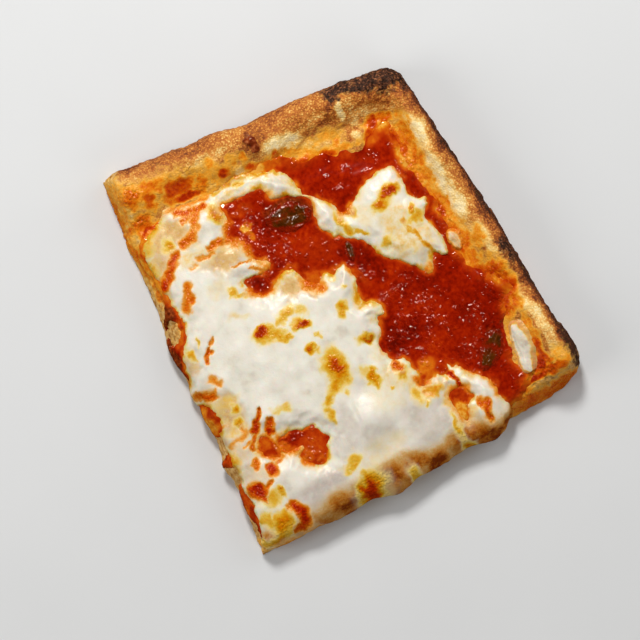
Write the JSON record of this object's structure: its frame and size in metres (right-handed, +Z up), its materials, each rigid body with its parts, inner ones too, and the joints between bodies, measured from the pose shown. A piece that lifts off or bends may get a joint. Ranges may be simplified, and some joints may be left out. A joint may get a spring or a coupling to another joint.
{
  "type": "cheese pizza slice",
  "caption": "Rectangular slice of thick pan pizza with a raised browned crust on two sides, two cut sides, tomato sauce, melted cheese and basil.",
  "frame": {"origin": "centre of the slice's box at its flat base", "axes": "+Z up from the base, +Y along the longer side towards the raised back crust, +X towards the raised right crust"},
  "size_m": [0.1525, 0.1707, 0.0213],
  "materials": {
    "crust": "baked dough, golden and browned, charred at one corner",
    "sauce": "wet cooked tomato sauce",
    "cheese": "melted mozzarella, oily, browned in spots",
    "basil": "baked dark basil leaf"
  },
  "bodies": {
    "root": {"crust": "crust", "sauce": "sauce", "cheese": "cheese", "cheese_rim_strip": "cheese", "cheese_rim_bit": "cheese", "basil_leaf_centre": "basil", "basil_leaf_front": "basil", "basil_leaf_small": "basil"}
  },
  "joints": []
}
